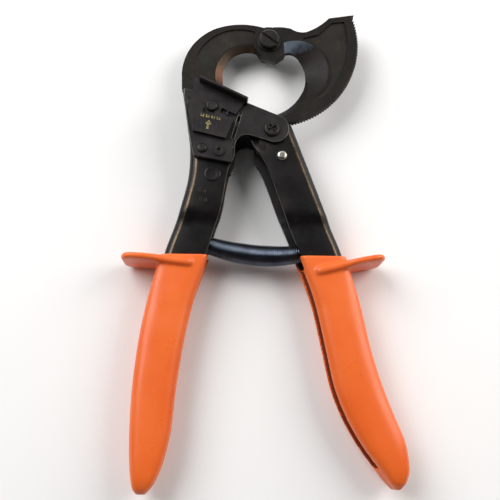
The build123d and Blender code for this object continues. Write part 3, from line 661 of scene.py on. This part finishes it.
PAWL_COIL_END = 0.0003
RELEASE_COIL_HALF = 0.0059
low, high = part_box("holding_pawl_spring")
middle = (low + high) / 2
foot = Vector((middle.x, low.y + PAWL_COIL_END, middle.z))
head = Vector((middle.x, high.y - PAWL_COIL_END, middle.z))
pawl_coil = coil("pawl_coil", straight(foot, head), lambda t: 0.00155, 0.0006, 9, WIRE, 16, 6)
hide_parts("holding_pawl_spring")
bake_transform(pawl_coil)
low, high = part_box("release_spring")
slant = Vector(JOINT["release_slide"]["axis"]).normalized()
middle = (low + high) / 2
pushed, seated = middle - slant * RELEASE_COIL_HALF, middle + slant * RELEASE_COIL_HALF
release_coil = coil("release_coil", straight(pushed, seated), lambda t: 0.00095, 0.0004, 13, WIRE, 16, 6)
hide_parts("release_spring")
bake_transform(release_coil)

# ---- Marks on the release cover ---------------------------------------------------------------

low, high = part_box("release_cover")
TOP = (high.z - JAW.z) * 1000
MARK_SINK, MARK_RISE = 0.02, 0.06
LEAN = radians(-12)
heading = Vector((cos(LEAN), sin(LEAN), 0))
upward = Vector((-heading.y, heading.x, 0))


def flat_mark(name, outline, x, y):
    spots = []
    for u, v in outline:
        p = Vector((x, y, 0)) + heading * u + upward * v
        spots.append((p.x, p.y))
    piece = prism(spots, TOP - MARK_SINK, TOP + MARK_RISE)
    piece.name = name
    piece.data.name = name
    return piece


arrow = [(-0.6, -2.6), (0.6, -2.6), (0.6, 0.2), (1.8, 0.2), (0.0, 2.6), (-1.8, 0.2), (-0.6, 0.2)]
marks = [flat_mark("mark_arrow", arrow, -33.2, -55.0)]
stirrup = [(-0.95, -0.8), (0.95, -0.8), (0.95, 0.8), (0.4, 0.8),
           (0.4, -0.25), (-0.4, -0.25), (-0.4, 0.8), (-0.95, 0.8)]
for k in range(4):
    marks.append(flat_mark(f"mark_bar_{k}", stirrup, -36.4 + 2.9 * k, -49.6 - 0.62 * k))
for piece in marks:
    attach(piece, "frame")

# ---- Finishes of the CAD nodes ----------------------------------------------------------------

FINISH = {
    "fixed_blade": (BLADE, 0.35, EDGE_WEAR_FAINT), "moving_blade": (BLADE, 0.22, EDGE_WEAR_FAINT),
    "blade_bush": (BRONZE, 0.1, None),
    "blade_pivot_screw": (FASTENER, 0.25, EDGE_WEAR_HIGHLIGHT), "blade_pivot_nut": (FASTENER, 0.4, EDGE_WEAR_HIGHLIGHT),
    "blade_pivot_washer": (FASTENER, 0.15, None),
    "front_frame_plate": (PLATE, 0.5, EDGE_WEAR_HIGHLIGHT), "rear_frame_plate": (PLATE, 0.4, EDGE_WEAR_FAINT),
    "front_tang_spacer": (PLATE, 0.2, None), "rear_tang_spacer": (PLATE, 0.2, None),
    "tang_rivet": (FASTENER, 0.1, None), "tang_eyelet": (FASTENER, 0.15, EDGE_WEAR_HIGHLIGHT),
    "handle_pivot_sleeve": (FASTENER, 0.1, None), "handle_pivot_screw": (FASTENER, 0.2, EDGE_WEAR_HIGHLIGHT),
    "handle_pivot_nut": (FASTENER, 0.3, EDGE_WEAR_HIGHLIGHT), "holding_pawl_pin": (FASTENER, 0.2, None),
    "holding_pawl_washer": (FASTENER, 0.1, None), "release_cover": (PLATE, 0.35, EDGE_WEAR_HIGHLIGHT),
    "release_slider": (PLATE, 0.35, EDGE_WEAR_HIGHLIGHT), "release_stud": (FASTENER, 0.15, None),
    "drive_pawl": (PAWL, 0.12, None), "holding_pawl": (PAWL, 0.12, None),
    "drive_pawl_pin": (RIVET, 0.1, None), "drive_pawl_spacers": (FASTENER, 0.1, None),
    "pawl_spring_pin": (FASTENER, 0.15, None), "drive_pawl_spring": (WIRE, 0.1, None),
    "fixed_spring_seat": (FASTENER, 0.15, None), "moving_spring_seat": (FASTENER, 0.15, None),
}
WELD_GAP = 0.000004
CAD_BEVEL_ANGLE = 34.0
# Bevels show worn metal; the brighter edge material is also a painted highlight
for name, (material, width, edge_wear_and_highlight) in FINISH.items():
    node = nodes[name]
    node.data.materials.clear()
    node.data.materials.append(material)
    for face in node.data.polygons:
        face.material_index = 0
    # The CAD's faces come apart along their edges, and a bevel needs them joined
    weld = node.modifiers.new("weld", "WELD")
    weld.merge_threshold = WELD_GAP
    round_edges(node, width, CAD_BEVEL_ANGLE, 2, edge_wear_and_highlight)

SLOPED, LEVEL = 0.15, 0.98  # upward lean of a ground face's normal, and of a level face's
FIELD_HIGH, FIELD_LOW = 0.0004, 0.0016  # how far a pressed field lies under the blade's face
# The ground faces take these colours; on the crescent their top is a painted reflection
for name, grind in (("fixed_blade", HOOK_GRIND), ("moving_blade", CRESCENT_GRIND_SHEEN)):
    data = nodes[name].data
    data.materials.append(grind)
    data.materials.append(BLADE_FIELD)
    low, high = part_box(name)
    for face in data.polygons:
        if SLOPED < face.normal.z < LEVEL:
            face.material_index = 2
        elif face.normal.z > LEVEL and high.z - FIELD_LOW < face.center.z < high.z - FIELD_HIGH:
            face.material_index = 3

# ---- Floor, light and camera ------------------------------------------------------------------

floor_graph = Graph("floor_pale")
pale = [(0.3, (0.93, 0.93, 0.925)), (0.7, (0.95, 0.95, 0.945))]
tone = floor_graph.ramp(floor_graph.noise(9.0, 3.0), pale)
matt = floor_graph.span(floor_graph.noise(40.0), 0.3, 0.7, 0.85, 0.95)
floor_graph.finish(tone, matt, 0.0, specular=0.1)
FLOOR_GAP, FLOOR_HALF = 0.0002, 4
level = cad_box[0][2] - FLOOR_GAP
corners = [(u * FLOOR_HALF, v * FLOOR_HALF, level) for u, v in ((-1, -1), (1, -1), (1, 1), (-1, 1))]
floor = mesh_piece("floor", corners, [(0, 1, 2, 3)], floor_graph.material, smooth=False)

scene = bpy.context.scene
scene.view_settings.view_transform = "Standard"
scene.world = bpy.data.worlds.new("studio")
scene.world.use_nodes = True
sky = scene.world.node_tree.nodes["Background"]
sky.inputs["Strength"].default_value = 1.0
# The studio is bright beyond the jaws and grey along its horizon, and dim overhead, so that level
# faces stay dark
backdrop = scene.world.node_tree
way = backdrop.nodes.new("ShaderNodeTexCoord")
heading_of = backdrop.nodes.new("ShaderNodeSeparateXYZ")
beyond = backdrop.nodes.new("ShaderNodeMapRange")
horizon = backdrop.nodes.new("ShaderNodeMapRange")
dome = backdrop.nodes.new("ShaderNodeValToRGB")
brighter = backdrop.nodes.new("ShaderNodeMath")
brighter.operation = "MAXIMUM"
for node, numbers in ((beyond, (-1.0, 1.0, 0.0, 1.0)), (horizon, (0.06, 0.32, 0.5, 0.0))):
    for key, number in zip(LIMITS, numbers):
        node.inputs[key].default_value = number
DOME = [(0.0, 0.04), (0.45, 0.04), (0.58, 0.14), (0.67, 0.26), (0.78, 0.75), (0.86, 1.0), (1.0, 0.4)]
while len(dome.color_ramp.elements) < len(DOME):
    dome.color_ramp.elements.new(0.5)
for mark, (where, grey) in zip(dome.color_ramp.elements, DOME):
    mark.position = where
    mark.color = (grey, grey, grey, 1.0)
for out, into in ((way.outputs["Generated"], heading_of.inputs["Vector"]),
                  (heading_of.outputs["Y"], beyond.inputs["Value"]),
                  (heading_of.outputs["Z"], horizon.inputs["Value"]),
                  (beyond.outputs["Result"], dome.inputs["Fac"]),
                  (dome.outputs["Color"], brighter.inputs[0]),
                  (horizon.outputs["Result"], brighter.inputs[1]),
                  (brighter.outputs["Value"], sky.inputs["Color"])):
    backdrop.links.new(out, into)


def lamp(name, place, target, size, power, colour=(1, 1, 1)):
    data = bpy.data.lights.new(name, "AREA")
    data.shape = "RECTANGLE"
    data.size, data.size_y = size
    data.energy = power
    data.color = colour
    light = bpy.data.objects.new(name, data)
    light.location = place
    light.rotation_euler = (Vector(target) - Vector(place)).to_track_quat("-Z", "Y").to_euler()
    scene.collection.objects.link(light)


SENSOR, FOCAL = 36.0, 1.54  # sensor width in millimetres, and focal length over sensor width
view = bpy.data.cameras.new("view")
view.sensor_width = SENSOR
view.lens = FOCAL * SENSOR
camera = bpy.data.objects.new("view", view)
# The camera looks down and a little towards the jaws
turned = Matrix(((0.99922239, -0.01440262, -0.03670394), (0.00554558, 0.9729795, -0.23082491),
                 (0.03903666, 0.23044188, 0.97230277)))
camera.matrix_world = Matrix.Translation(at(-25.0, -215.0, 400.0)) @ turned.to_4x4()
scene.collection.objects.link(camera)
scene.camera = camera

# Soft boxes on both sides beyond the jaws
lamp("key", (-0.62, 0.42, 0.75), (0, 0, 0), (0.75, 0.75), 9.0)
lamp("side", (0.70, 0.30, 0.55), (0, 0, 0), (0.50, 0.80), 6.0, (1.0, 0.97, 0.94))
